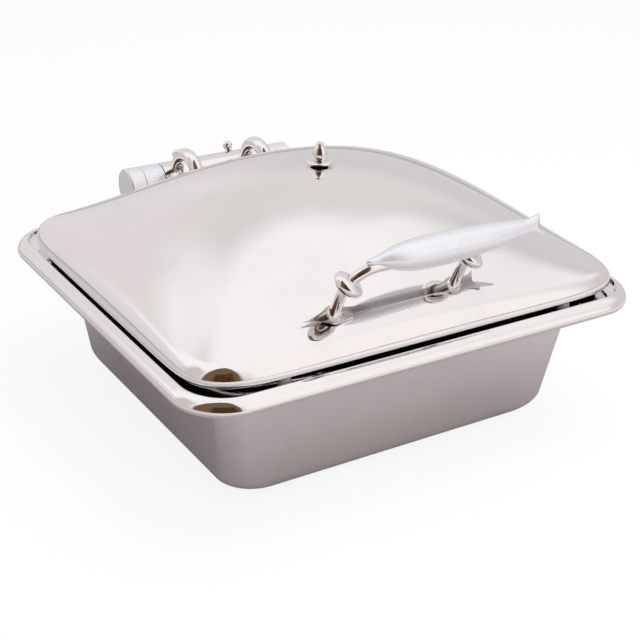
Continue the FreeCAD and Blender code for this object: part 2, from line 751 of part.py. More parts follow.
# Hinge
def buildAxleGroup():
    # Turned pieces on the hinge line; z along the axle, which lies along x.
    axle = turned("Axle", [(0, -axleHalf), (axleRadius - 1, -axleHalf), (axleRadius, 1 - axleHalf),
                           (axleRadius, axleHalf - 1), (axleRadius - 1, axleHalf), (0, axleHalf)])
    keep(onAxle(axle), "hinge_axle")
    inner = hingeRadius - tubeWall
    keep(onAxle(ringPiece("HingeTube", inner, hingeRadius, -tubeHalf, tubeHalf)), "hinge_tube")
    for side, sign in (("left", -1), ("right", 1)):
        low = tubeHalf - 1 - bushLength if sign > 0 else 1 - tubeHalf
        bush = ringPiece(f"Bush{side}", axleRadius + runningGap, inner, low, low + bushLength)
        keep(onAxle(bush), f"hinge_bush_{side}")
        start, stop = (tubeHalf + sideGap) * sign, housingEnd * sign
        web = (housingEnd - housingWeb) * sign
        housing = turned(f"Housing{side}", [(housingBore, start), (hingeRadius - 0.5, start),
                                            (hingeRadius, start + 0.5 * sign),
                                            (hingeRadius, stop - 0.4 * sign),
                                            (hingeRadius - 0.5, stop), (axleRadius + threadFit, stop),
                                            (axleRadius + threadFit, web), (housingBore, web)])
        keep(onAxle(housing), f"hinge_housing_{side}")
        start, stop = (housingEnd + 0.05) * sign, capEnd * sign
        roof = (capEnd - 2.5) * sign
        cap = turned(f"EndCap{side}", [(15, start), (hingeRadius - 0.6, start),
                                       (hingeRadius, start + 0.6 * sign), (hingeRadius, stop - 1.2 * sign),
                                       (hingeRadius - 1.2, stop), (0, stop), (0, roof), (15, roof)])
        keep(onAxle(cap), f"hinge_end_cap_{side}")
    collarEnd = springHalf + 7
    collar = ringPiece("SpringCollar", axleRadius + threadFit, 13, -collarEnd, -springHalf - 1.6)
    keep(onAxle(collar), "spring_collar")
    start = housingEnd - housingWeb - 0.1
    damper = ringPiece("DamperBody", axleRadius + threadFit, damperRadius, start - damperLength, start)
    keep(onAxle(damper), "damper_body")
    rotor = ringPiece("DamperRotor", axleRadius + 0.5, damperRadius - 0.6, tubeHalf - 0.95, tubeHalf + 4.5)
    keep(onAxle(rotor), "damper_rotor")
    nuts = []
    for sign in (-1, 1):
        nut = hexNut(f"AxleNut{len(nuts)}", axleNutFlats, axleRadius + threadFit, axleNutThick)
        low = housingEnd + 0.1 if sign > 0 else -(housingEnd + 0.1) - axleNutThick
        nuts.append(place(nut, low, hingeY, hingeZ, V(1, 0, 0)))
    keep(together("Compound", "AxleNuts", nuts), "axle_nuts")


def buildSpring():
    # Closely wound torsion spring: a round wire swept along a helix about the axle.
    helix = doc.addObject("Part::Helix", "SpringHelix")
    bind(helix, "Radius", springRadius)
    bind(helix, "Height", springHalf * 2)
    bind(helix, "Pitch", springPitch)
    wire = doc.addObject("Part::Circle", "SpringWire")
    bind(wire, "Radius", springWire)
    wire.Placement = FreeCAD.Placement(V(springRadius.value, 0, 0), FreeCAD.Rotation(V(1, 0, 0), 90))
    sweep = doc.addObject("Part::Sweep", "SpringSweep")
    sweep.Sections = [wire]
    sweep.Spine = (helix, [])
    sweep.Solid = True
    sweep.Frenet = True
    place(sweep, -springHalf, hingeY, hingeZ, V(1, 0, 0))
    keep(sweep, "lid_spring")


def armNormal():
    tilt = math.radians(armSeatTilt.value)
    return V(0, math.sin(tilt), math.cos(tilt))


def buildArms(domeForm):
    # Each arm is a piece of a torus in a plane x = constant, from the tube over to the lid.
    tubeForm = onAxle(ringPiece("TubeForm", 0, hingeRadius, -tubeHalf, tubeHalf))
    limits = together("Compound", "ArmLimits", [domeForm, tubeForm])
    normal, screws, washers, holes = armNormal(), [], [], []
    for side, sign in (("left", -1), ("right", 1)):
        bend = doc.addObject("Part::Torus", f"ArmBend{side}")
        bind(bend, "Radius1", armBend)
        bind(bend, "Radius2", armRadius)
        bind(bend, "Angle3", armSweep)
        turn = FreeCAD.Rotation(V(0, 1, 0), V(0, 0, 1), V(1, 0, 0), "ZXY")
        bend.Placement = FreeCAD.Placement(V(armX.value * sign, armBendY.value, armBendZ.value), turn)
        seat = V(armX.value * sign, armSeatY.value, armSeatZ.value)
        foot = turned(f"ArmFoot{side}", [(0, -5), (9, -5), (9, 1.6), (7.6, 3.2), (0, 3.2)])
        place(foot, seat.x, seat.y, seat.z, normal)
        inside = seat - normal * armScrewDepth.value
        pin = screw(f"ArmScrew{side}", armScrew, 11, armScrew * 2, 2.8)
        screws.append(place(pin, inside.x, inside.y, inside.z, normal))
        ring = ringPiece(f"ArmWasher{side}", armScrew + 0.1, 6.5, 0.05, 1.05)
        washers.append(place(ring, inside.x, inside.y, inside.z, normal))
        hole = ringPiece(f"ArmHole{side}", 0, armScrew + 0.1, -5, armScrewDepth * 2)
        holes.append(place(hole, inside.x, inside.y, inside.z, normal))
        arm = combine("Cut", f"ArmTrim{side}", together("MultiFuse", f"ArmJoin{side}", [bend, foot]), limits)
        keep(combine("Cut", f"Arm{side}", arm, pin), f"hinge_arm_{side}")
    keep(together("Compound", "ArmScrews", screws), "arm_screws")
    keep(together("Compound", "ArmWashers", washers), "arm_washers")
    return holes


def buildBallScrews():
    balls = []
    lean = math.radians(ballLean.value)
    out = V(0, math.sin(lean), math.cos(lean))
    for sign in (-1, 1):
        ball = turned(f"BallScrew{len(balls)}", [(0, runningGap), (ballNeck, runningGap), (ballNeck, 1.4),
                                                 (ballRadius, ballRise, ballRadius, 1),
                                                 (0, ballRise + ballRadius)])
        seat = out * hingeRadius.value
        balls.append(place(ball, ballX * sign, hingeY + seat.y, hingeZ + seat.z, out))
    keep(together("Compound", "BallScrews", balls), "hinge_ball_screws")


def buildBracket(panForm):
    # Bent plate: a flange on the rear wall, a shelf under the rim, and two upstands
    # that carry the hinge housings.
    body = newBody("BracketBlank")
    side = sketchOn(body, "YZ_Plane", "BracketSide")
    wall = wallHalfY + bracketThick
    outline(side, [(wall - bracketInset, bracketLow), (wall, bracketLow), (wall, bracketShelf),
                   (bracketY, bracketShelf), (bracketY, bracketShelf + bracketThick),
                   (wall - bracketInset, bracketShelf + bracketThick)])
    pad(body, side, "BracketPlate", bracketHalf * 2, True)
    for index, sign in enumerate((-1, 1)):
        post = sketchOn(body, "XZ_Plane", f"UpstandOutline{index}", -bracketY)
        mid, half = upstandX * sign, upstandHalf
        outline(post, [(mid - half, bracketShelf), (mid + half, bracketShelf), (mid + half, hingeZ),
                       (mid - half, hingeZ)])
        pad(body, post, f"Upstand{index}", bracketThick)
        doc.recompute()
    housings = onAxle(ringPiece("HousingForm", 0, hingeRadius, -capEnd, capEnd))
    studs, nuts, holes = [], [], []
    for x in (-studX, studX):
        for z in (studLow, studLow + studPitch):
            stud = ringPiece(f"Stud{len(studs)}", 0, studRadius, -12, studReach)
            studs.append(place(stud, x, wall, z, V(0, 1, 0)))
            hole = ringPiece(f"StudHole{len(studs)}", 0, studHole, -20, studReach + 3)
            holes.append(place(hole, x, wall, z, V(0, 1, 0)))
            nut = hexNut(f"StudNut{len(nuts)}", nutFlats, studRadius + threadFit, nutThick)
            nuts.append(place(nut, x, wall + runningGap, z, V(0, 1, 0)))
    limits = together("Compound", "BracketLimits", [panForm, housings] + holes)
    keep(combine("Cut", "Bracket", body, limits), "hinge_bracket")
    keep(combine("Cut", "Studs", together("Compound", "StudBlanks", studs), panForm), "bracket_studs")
    keep(together("Compound", "StudNuts", nuts), "bracket_nuts")


# Assembly
def build():
    buildWaterPan()
    panForm = buildPanForm()
    buildUnderside(panForm)
    buildBumpers()
    buildFoodPan()
    domeForm = buildDomeForm("DomeForm", 0)
    plateForm = buildDomeForm("PlateForm", handlePlateThick)
    shell = buildDomeShell()
    holes = buildHandle(domeForm, plateForm) + buildArms(domeForm)
    finialHole = ringPiece("FinialHole", 0, finialStud + 0.1, lidTopZ - 6, lidTopZ + 4)
    holes.append(place(finialHole, 0, lidMidY, 0))
    keep(combine("Cut", "LidDome", shell, together("Compound", "LidHoles", holes)), "lid_dome")
    buildFinial()
    buildAxleGroup()
    buildSpring()
    buildBallScrews()
    buildBracket(panForm)
    doc.recompute()


def check():
    bad = [item.Name for item in doc.Objects if {"Invalid", "Error"} & set(item.State)]
    bad += [label for label, item in nodes.items() if item.Shape.isNull() or not item.Shape.isValid()]
    if bad:
        raise SystemExit(f"failed: {bad}")


def export():
    os.makedirs("parts", exist_ok=True)
    for label, item in nodes.items():
        item.Shape.exportStep(f"parts/{label}.step")
        box = item.Shape.BoundBox
        print(f"{label}: {len(item.Shape.Solids)} solid, {item.Shape.Volume:.0f} mm3, "
              f"x {box.XMin:.1f} {box.XMax:.1f} y {box.YMin:.1f} {box.YMax:.1f} z {box.ZMin:.1f} {box.ZMax:.1f}")


build()
check()
export()
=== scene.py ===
import bmesh
import bpy
import json
import math
from mathutils import Matrix, Vector


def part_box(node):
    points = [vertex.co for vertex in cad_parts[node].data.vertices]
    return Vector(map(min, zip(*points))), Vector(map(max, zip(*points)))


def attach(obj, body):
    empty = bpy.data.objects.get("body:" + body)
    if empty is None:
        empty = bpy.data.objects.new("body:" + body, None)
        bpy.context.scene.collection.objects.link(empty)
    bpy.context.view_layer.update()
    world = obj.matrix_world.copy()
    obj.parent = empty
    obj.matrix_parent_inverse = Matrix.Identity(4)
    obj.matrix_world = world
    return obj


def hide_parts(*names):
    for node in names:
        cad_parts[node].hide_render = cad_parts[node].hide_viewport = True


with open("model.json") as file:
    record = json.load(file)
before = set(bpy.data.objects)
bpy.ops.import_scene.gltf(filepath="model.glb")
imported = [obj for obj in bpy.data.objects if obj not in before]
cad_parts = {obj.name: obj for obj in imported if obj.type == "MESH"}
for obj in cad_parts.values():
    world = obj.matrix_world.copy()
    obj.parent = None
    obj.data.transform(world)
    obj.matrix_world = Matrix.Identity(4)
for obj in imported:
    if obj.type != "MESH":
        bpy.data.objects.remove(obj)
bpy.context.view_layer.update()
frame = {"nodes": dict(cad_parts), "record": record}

nodes = frame["nodes"]


# Small tools for making meshes.

def finishMesh(name, mesh, material, sharpAngle=40):
    mesh.polygons.foreach_set("use_smooth", [True] * len(mesh.polygons))
    mesh.set_sharp_from_angle(angle=math.radians(sharpAngle))
    piece = bpy.data.objects.new(name, mesh)
    bpy.context.scene.collection.objects.link(piece)
    mesh.materials.append(material)
    return piece


def meshFromRings(name, rings, material, loop=False, sharpAngle=40):
    # Rings with the same number of points, joined one to the next. The ends are closed, or meet in a loop.
    work = bmesh.new()
    rows = [[work.verts.new(point) for point in ring] for ring in rings]
    count = len(rows[0])
    pairs = list(zip(rows, rows[1:]))
    if loop:
        pairs.append((rows[-1], rows[0]))
    for lower, upper in pairs:
        for index in range(count):
            after = (index + 1) % count
            work.faces.new((lower[index], lower[after], upper[after], upper[index]))
    for row in (rows[0], rows[-1]):
        if not loop:
            centre = work.verts.new(sum((vert.co for vert in row), Vector()) / count)
            for index in range(count):
                work.faces.new((row[index], row[(index + 1) % count], centre))
    bmesh.ops.recalc_face_normals(work, faces=work.faces)
    mesh = bpy.data.meshes.new(name)
    work.to_mesh(mesh)
    work.free()
    return finishMesh(name, mesh, material, sharpAngle)


def roundedRing(halfX, halfY, corner, z, perCorner=18, perSide=8):
    # Level line of a rounded box, anticlockwise.
    points = []
    corners = ((1, 1), (-1, 1), (-1, -1), (1, -1))
    for quarter, (sideX, sideY) in enumerate(corners):
        for step in range(perCorner + 1):
            angle = (quarter + step / perCorner) * math.pi / 2
            points.append(Vector((sideX * (halfX - corner) + corner * math.cos(angle),
                                  sideY * (halfY - corner) + corner * math.sin(angle), z)))
        nextX, nextY = corners[(quarter + 1) % 4]
        angle = (quarter + 1) * math.pi / 2
        last = points[-1]
        ahead = Vector((nextX * (halfX - corner) + corner * math.cos(angle),
                        nextY * (halfY - corner) + corner * math.sin(angle), z))
        points += [last.lerp(ahead, step / perSide) for step in range(1, perSide)]
    return points


def smoothProfile(points, steps=6):
    # Catmull-Rom curve through the points of a profile.
    path = [Vector(point) for point in points]
    path = [path[0] * 2 - path[1]] + path + [path[-1] * 2 - path[-2]]
    curve = []
    for a, b, c, d in zip(path, path[1:], path[2:], path[3:]):
        for step in range(steps):
            t = step / steps
            curve.append(0.5 * ((2 * b) + (c - a) * t + (2 * a - 5 * b + 4 * c - d) * t * t
                                + (3 * b - a - 3 * c + d) * t ** 3))
    curve.append(path[-2])
    return curve


def arcProfile(centre, radius, start, end, steps):
    # Points of a circular arc in a profile plane, angles in degrees.
    angles = [math.radians(start + (end - start) * step / steps) for step in range(steps + 1)]
    return [(centre[0] + radius * math.cos(angle), centre[1] + radius * math.sin(angle)) for angle in angles]


def add(piece, body, slotName, *replaced):
    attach(piece, body)
    if replaced:
        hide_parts(*replaced)
    return piece


# Small tools for materials.

def newMaterial(name):
    material = bpy.data.materials.new(name)
    material.use_nodes = True
    tree = material.node_tree
    shader = tree.nodes["Principled BSDF"]
    return material, tree, shader


def node(tree, kind, **inputs):
    made = tree.nodes.new(kind)
    for key, value in inputs.items():
        if key in made.inputs:
            made.inputs[key].default_value = value
        else:
            setattr(made, key, value)
    return made


def noise(tree, vector, scale, detail=4.0, roughness=0.5):
    made = node(tree, "ShaderNodeTexNoise", Scale=scale, Detail=detail, Roughness=roughness)
    tree.links.new(vector, made.inputs["Vector"])
    return made.outputs["Fac"]


def remap(tree, value, low, high, toLow, toHigh):
    made = tree.nodes.new("ShaderNodeMapRange")
    for index, number in ((1, low), (2, high), (3, toLow), (4, toHigh)):
        made.inputs[index].default_value = number
    tree.links.new(value, made.inputs[0])
    return made.outputs[0]


def mixColours(tree, factor, first, second):
    made = node(tree, "ShaderNodeMix", data_type="RGBA")
    made.inputs[6].default_value = (*first, 1)
    made.inputs[7].default_value = (*second, 1)
    tree.links.new(factor, made.inputs[0])
    return made.outputs[2]


def objectPlace(tree, stretch=(1, 1, 1)):
    # Object coordinates in metres, stretched so that a grain runs along one axis.
    place = node(tree, "ShaderNodeTexCoord")
    scaled = tree.nodes.new("ShaderNodeMapping")
    scaled.inputs["Scale"].default_value = stretch
    tree.links.new(place.outputs["Object"], scaled.inputs["Vector"])
    return scaled.outputs["Vector"]


def newGroup(name, inputs, outputs):
    group = bpy.data.node_groups.new(name, "ShaderNodeTree")
    for label, value in inputs.items():
        kind = "NodeSocketVector" if label == "Vector" else "NodeSocketFloat"
        socket = group.interface.new_socket(name=label, in_out="INPUT", socket_type=kind)
        if kind == "NodeSocketFloat":
            socket.default_value = value
    for label in outputs:
        group.interface.new_socket(name=label, in_out="OUTPUT", socket_type="NodeSocketFloat")
    return group, group.nodes.new("NodeGroupInput"), group.nodes.new("NodeGroupOutput")


def useGroup(tree, group, vector, **values):
    made = tree.nodes.new("ShaderNodeGroup")
    made.node_tree = group
    tree.links.new(vector, made.inputs["Vector"])
    for label, value in values.items():
        made.inputs[label].default_value = value
    return made


def maths(tree, operation, *values):
    made = node(tree, "ShaderNodeMath", operation=operation)
    for index, value in enumerate(values):
        if isinstance(value, (int, float)):
            made.inputs[index].default_value = value
        else:
            tree.links.new(value, made.inputs[index])
    return made.outputs[0]


def mixOver(tree, under, factor, colour):
    # Lays a colour over another one, by a mask.
    made = node(tree, "ShaderNodeMix", data_type="RGBA")
    tree.links.new(factor, made.inputs[0])
    tree.links.new(under, made.inputs[6])
    made.inputs[7].default_value = (*colour, 1)
    return made.outputs[2]


def easeIn(tree, value):
    # Smooth step from 0 to 1.
    made = tree.nodes.new("ShaderNodeMapRange")
    made.interpolation_type = "SMOOTHSTEP"
    tree.links.new(value, made.inputs[0])
    return made.outputs[0]


def bump(tree, shader, height, distance):
    made = node(tree, "ShaderNodeBump", Strength=1.0, Distance=distance)
    tree.links.new(height, made.inputs["Height"])
    tree.links.new(made.outputs["Normal"], shader.inputs["Normal"])


# Effects that several finishes share.

def makeWipeMarks():
    # Cloth wipes and hazy hand marks: a soft mask, plus a finer one of short wiping strokes.
    group, given, result = newGroup("wipeMarks", {"Vector": None, "Size": 1.0}, ["Haze", "Strokes"])
    cloud = node(group, "ShaderNodeTexNoise", Detail=5.0, Roughness=0.55, Distortion=0.6)
    group.links.new(given.outputs["Vector"], cloud.inputs["Vector"])
    group.links.new(maths(group, "MULTIPLY", given.outputs["Size"], 14.0), cloud.inputs["Scale"])
    haze = remap(group, cloud.outputs["Fac"], 0.48, 0.72, 0.0, 1.0)
    group.links.new(haze, result.inputs["Haze"])
    longWays = node(group, "ShaderNodeMapping")
    longWays.inputs["Scale"].default_value = (1.0, 9.0, 3.0)
    longWays.inputs["Rotation"].default_value = (0.3, 0.2, 0.5)
    group.links.new(given.outputs["Vector"], longWays.inputs["Vector"])
    stroke = node(group, "ShaderNodeTexNoise", Detail=8.0, Roughness=0.65, Distortion=0.2)
    group.links.new(longWays.outputs["Vector"], stroke.inputs["Vector"])
    group.links.new(maths(group, "MULTIPLY", given.outputs["Size"], 60.0), stroke.inputs["Scale"])
    group.links.new(remap(group, stroke.outputs["Fac"], 0.5, 0.8, 0.0, 1.0), result.inputs["Strokes"])
    return group


def makeHairlines():
    # Sparse fine hairlines in three directions, as polishing and washing leave them.
    group, given, result = newGroup("hairlines", {"Vector": None, "Size": 1.0}, ["Height"])
    total = None
    for turn, stretch in ((0.4, 26.0), (1.7, 34.0), (2.6, 22.0)):
        turned = node(group, "ShaderNodeMapping")
        turned.inputs["Rotation"].default_value = (turn * 0.6, turn * 0.3, turn)
        turned.inputs["Scale"].default_value = (1.0, stretch, stretch)
        group.links.new(given.outputs["Vector"], turned.inputs["Vector"])
        line = node(group, "ShaderNodeTexNoise", Detail=3.0, Roughness=0.5)
        group.links.new(turned.outputs["Vector"], line.inputs["Vector"])
        group.links.new(maths(group, "MULTIPLY", given.outputs["Size"], 22.0), line.inputs["Scale"])
        lineMask = remap(group, line.outputs["Fac"], 0.66, 0.74, 0.0, 1.0)
        total = lineMask if total is None else maths(group, "MAXIMUM", total, lineMask)
    group.links.new(total, result.inputs["Height"])
    return group


def makeGrain():
    # Fine random grain: blasted metal, moulded rubber, silicone.
    group, given, result = newGroup("fineGrain", {"Vector": None, "Size": 900.0}, ["Height", "Patch"])
    fine = node(group, "ShaderNodeTexNoise", Detail=6.0, Roughness=0.7)
    group.links.new(given.outputs["Vector"], fine.inputs["Vector"])
    group.links.new(given.outputs["Size"], fine.inputs["Scale"])
    group.links.new(fine.outputs["Fac"], result.inputs["Height"])
    broad = node(group, "ShaderNodeTexNoise", Detail=3.0, Roughness=0.5)
    group.links.new(given.outputs["Vector"], broad.inputs["Vector"])
    group.links.new(maths(group, "DIVIDE", given.outputs["Size"], 30.0), broad.inputs["Scale"])
    group.links.new(broad.outputs["Fac"], result.inputs["Patch"])
    return group


wipeMarks, hairlines, fineGrain = makeWipeMarks(), makeHairlines(), makeGrain()


# Finishes.

polish = {"colour": (0.90, 0.885, 0.88), "hazeColour": (0.86, 0.845, 0.84),
          "roughness": (0.035, 0.085), "hairline": 0.000003, "wave": 0.00030}
# Painted shade: the leaf plate's polish is the dome's steel with a darker base colour.
leafShadedPolish = {"colour": (0.56, 0.54, 0.54), "hazeColour": (0.48, 0.46, 0.465),
              "roughness": (0.10, 0.22), "hairline": 0.000012, "wave": 0.00020}


def makePolishedSteel(name, look):
    material, tree, shader = newMaterial(name)
    place = objectPlace(tree)
    marks = useGroup(tree, wipeMarks, place, Size=1.0)
    lines = useGroup(tree, hairlines, place, Size=1.0)
    tree.links.new(mixColours(tree, marks.outputs["Haze"], look["colour"], look["hazeColour"]),
                   shader.inputs["Base Color"])
    strokes = maths(tree, "MULTIPLY", marks.outputs["Strokes"], 0.6)
    dull = maths(tree, "MAXIMUM", marks.outputs["Haze"], strokes)
    tree.links.new(remap(tree, dull, 0, 1, *look["roughness"]), shader.inputs["Roughness"])
    shader.inputs["Metallic"].default_value = 1.0
    wave = node(tree, "ShaderNodeBump", Strength=1.0, Distance=look["wave"])  # the pressing's slow waves
    tree.links.new(noise(tree, place, 9.0, 1.0), wave.inputs["Height"])
    fine = node(tree, "ShaderNodeBump", Strength=1.0, Distance=look["hairline"])
    tree.links.new(lines.outputs["Height"], fine.inputs["Height"])
    tree.links.new(wave.outputs["Normal"], fine.inputs["Normal"])
    tree.links.new(fine.outputs["Normal"], shader.inputs["Normal"])
    return material


satin = {"colour": (0.92, 0.925, 0.955), "patchColour": (0.87, 0.88, 0.925), "roughness": (0.24, 0.36),
         "metallic": 0.50}


def makeSatinMetal(look):
    material, tree, shader = newMaterial("satinMetal")
    place = objectPlace(tree)
    grain = useGroup(tree, fineGrain, place, Size=2400.0)
    marks = useGroup(tree, wipeMarks, place, Size=2.0)
    tree.links.new(mixColours(tree, grain.outputs["Patch"], look["colour"], look["patchColour"]),
                   shader.inputs["Base Color"])
    tree.links.new(remap(tree, marks.outputs["Haze"], 0, 1, *look["roughness"]), shader.inputs["Roughness"])
    shader.inputs["Metallic"].default_value = look["metallic"]
    bump(tree, shader, grain.outputs["Height"], 0.00002)
    return material


brushed = {"foodSteel": {"colour": (0.60, 0.59, 0.58), "shade": (0.50, 0.49, 0.48), "stretch": (1, 40, 40),
                         "roughness": (0.20, 0.34)},
           "plainSteel": {"colour": (0.52, 0.52, 0.53), "shade": (0.38, 0.38, 0.39), "stretch": (30, 1, 30),
                          "roughness": (0.22, 0.42)},
           "springSteel": {"colour": (0.30, 0.29, 0.29), "shade": (0.16, 0.15, 0.15), "stretch": (1, 20, 20),
                           "roughness": (0.30, 0.48)}}


def makeBrushedSteel(name, look):
    material, tree, shader = newMaterial(name)
    strokes = noise(tree, objectPlace(tree, look["stretch"]), 40.0, 8.0, 0.65)
    marks = useGroup(tree, wipeMarks, objectPlace(tree), Size=1.4)
    tree.links.new(mixColours(tree, remap(tree, strokes, 0.35, 0.7, 0, 1), look["colour"], look["shade"]),
                   shader.inputs["Base Color"])
    blend = maths(tree, "MAXIMUM", marks.outputs["Haze"], remap(tree, strokes, 0.4, 0.8, 0, 0.7))
    tree.links.new(remap(tree, blend, 0, 1, *look["roughness"]), shader.inputs["Roughness"])
    shader.inputs["Metallic"].default_value = 1.0
    bump(tree, shader, strokes, 0.00003)
    return material


disc = {"colour": (0.42, 0.41, 0.40), "shade": (0.28, 0.27, 0.26), "ringsPerMetre": 900.0}


def makeInductionSteel(look):
    # Turned face: fine rings about the disc's own centre.
    material, tree, shader = newMaterial("inductionSteel")
    place = objectPlace(tree)
    rings = node(tree, "ShaderNodeTexWave", wave_type="RINGS", rings_direction="Z", Distortion=0.4,
                 Detail=2.0, Scale=look["ringsPerMetre"])
    tree.links.new(place, rings.inputs["Vector"])
    patch = noise(tree, place, 18.0, 5.0)
    tree.links.new(mixColours(tree, patch, look["colour"], look["shade"]), shader.inputs["Base Color"])
    tree.links.new(remap(tree, patch, 0.3, 0.7, 0.28, 0.46), shader.inputs["Roughness"])
    shader.inputs["Metallic"].default_value = 1.0
    bump(tree, shader, rings.outputs["Fac"], 0.00003)
    return material


moulded = {"blackRubber": {"colour": (0.012, 0.012, 0.013), "patch": (0.030, 0.029, 0.028), "grain": 1600.0,
                           "roughness": (0.55, 0.80), "depth": 0.00006},
           "greySilicone": {"colour": (0.30, 0.30, 0.31), "patch": (0.38, 0.38, 0.39), "grain": 1100.0,
                            "roughness": (0.35, 0.55), "depth": 0.00003},
           "bearingPlastic": {"colour": (0.74, 0.72, 0.66), "patch": (0.66, 0.63, 0.56), "grain": 1300.0,
                              "roughness": (0.38, 0.52), "depth": 0.00002}}


def makeMoulded(name, look):
    material, tree, shader = newMaterial(name)
    place = objectPlace(tree)
    grain = useGroup(tree, fineGrain, place, Size=look["grain"])
    tree.links.new(mixColours(tree, grain.outputs["Patch"], look["colour"], look["patch"]),
                   shader.inputs["Base Color"])
    dull = remap(tree, grain.outputs["Patch"], 0.3, 0.7, *look["roughness"])
    tree.links.new(dull, shader.inputs["Roughness"])
    bump(tree, shader, grain.outputs["Height"], look["depth"])
    return material


finishes = {"polished_steel": makePolishedSteel("polishedSteel", polish),
            "satin_metal": makeSatinMetal(satin),
            "steel_hardware": makeBrushedSteel("plainSteel", brushed["plainSteel"]),
            "food_steel": makeBrushedSteel("foodSteel", brushed["foodSteel"]),
            "spring_steel": makeBrushedSteel("springSteel", brushed["springSteel"]),
            "induction_steel": makeInductionSteel(disc),
            "black_rubber": makeMoulded("blackRubber", moulded["blackRubber"]),
            "grey_silicone": makeMoulded("greySilicone", moulded["greySilicone"]),
            "bearing_plastic": makeMoulded("bearingPlastic", moulded["bearingPlastic"])}
for part in frame["record"]["subparts"]:
    mesh = nodes[part["node"]].data
    mesh.materials.clear()
    mesh.materials.append(finishes[part["material_slot"]])
# Painted shade: the leaf plate gets a darker copy of the polished steel.
nodes["handle_plate"].data.materials[0] = makePolishedSteel("leafSteelShaded", leafShadedPolish)  # rougher than the dome, and darker in colour as painted shade
print("finishes made")


# Water pan.

pan = {"wallHalfX": 0.174, "wallHalfY": 0.161, "wallCorner": 0.026, "draft": 0.14, "sheet": 0.0012,
       "bend": 0.017, "cornerGrowth": 0.010, "rimHalfX": 0.215, "rimHalfY": 0.193, "rimCorner": 0.045,
       "rimMidY": -0.003, "edgeZ": 0.117, "ledgeZ": 0.1256, "bendSteps": 12, "wallSteps": 8}


def wallRing(look, z, inset, extraCorner=0.0, shrink=0.0):
    lean = look["draft"] * (look["edgeZ"] - z) + inset + shrink
    return roundedRing(look["wallHalfX"] - lean, look["wallHalfY"] - lean,
                       look["wallCorner"] + extraCorner - shrink, z)


def buildWaterPan(look):
    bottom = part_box("water_pan")[0].z
    halfX, halfY = look["rimHalfX"], look["rimHalfY"]
    sheet, edge, ledge = look["sheet"], look["edgeZ"], look["ledgeZ"]

    def wall(shrink, floorZ, topZ):
        bend = look["bend"] - shrink
        rings = []
        for step in range(look["bendSteps"] + 1):
            part = step / look["bendSteps"]
            angle = part * math.pi / 2
            rings.append(wallRing(look, floorZ + bend * (1 - math.cos(angle)), bend * (1 - math.sin(angle)),
                                  look["cornerGrowth"] * (1 - part), shrink))
        start = floorZ + bend
        rise = (topZ - start) / look["wallSteps"]
        return rings + [wallRing(look, start + rise * step, 0, 0, shrink)
                        for step in range(1, look["wallSteps"] + 1)]

    def rim(inset, z):
        ring = roundedRing(halfX - inset, halfY - inset, look["rimCorner"] - inset, z)
        return [point + Vector((0, look["rimMidY"], 0)) for point in ring]

    under = ledge - sheet
    outside = wall(0, bottom, under - 0.002)
    rings = outside + [wallRing(look, under - 0.0006, -0.0008), wallRing(look, under, -0.0025)]
    skirt = [(0.0070, under), (0.0052, under - 0.0006), (0.0034, under - 0.0018), (0.0021, under - 0.0036),
             (0.0014, edge + 0.0026), (0.0018, edge + 0.0006)]
    rings += [rim(inset, z) for inset, z in skirt]
    # The rolled edge: a small round lip, then the bulge, the crest and the way down to the ledge.
    lip = arcProfile((0.0016, edge + 0.0004), 0.0006, 200, 350, 5)
    rings += [rim(0.0032 - inset, z) for inset, z in lip]
    bulge = smoothProfile([(0.0008, edge + 0.0010, 0), (0.0, edge + 0.0028, 0), (0.0004, edge + 0.0054, 0),
                           (0.0017, edge + 0.0080, 0), (0.0040, edge + 0.0103, 0),
                           (0.0065, edge + 0.0118, 0), (0.0086, edge + 0.0126, 0),
                           (0.0097, edge + 0.0120, 0), (0.0103, edge + 0.0104, 0),
                           (0.0112, ledge + 0.0003, 0), (0.0140, ledge, 0)], 5)
    rings += [rim(point.x, point.y) for point in bulge]
    rings += [wallRing(look, ledge, -0.0016, 0, sheet), wallRing(look, ledge - 0.0003, -0.0006, 0, sheet)]
    rings += reversed(wall(sheet, bottom + sheet, ledge - 0.0016))
    piece = meshFromRings("water_pan_shell", rings, finishes["polished_steel"], sharpAngle=50)
    return add(piece, "base", "polished_steel", "water_pan")


buildWaterPan(pan)
print("water pan made")


# Lid.

lid = {"hem": 0.0010, "sheet": 0.0012, "flange": 0.008, "squareness": 9.8, "shoulder": 2.09, "crown": 1.12,
       "square": 0.18, "skirt": 0.0086, "skirtWidth": 0.0084, "meanHalf": 0.2, "crowding": 1.3,
       "around": 288, "inward": 96}


def domeHeight(look, u, v, rise):
    # Height above the hem at the part u, v of the half sizes: a pillow over a narrow round skirt.
    u, v = min(abs(u), 1.0), min(abs(v), 1.0)
    alongX = max(1 - u ** look["shoulder"], 1e-9) ** (1 / look["crown"])
    alongY = max(1 - v ** look["shoulder"], 1e-9) ** (1 / look["crown"])
    pillow = (alongX ** -look["square"] + alongY ** -look["square"] - 1) ** (-1 / look["square"])
    reach = (u ** look["squareness"] + v ** look["squareness"]) ** (1 / look["squareness"])
    inset = min(max(1 - reach, 0) * look["meanHalf"] / look["skirtWidth"], 1.0)
    return look["skirt"] * math.sqrt(1 - (1 - inset) ** 2) + (rise - look["skirt"]) * pillow


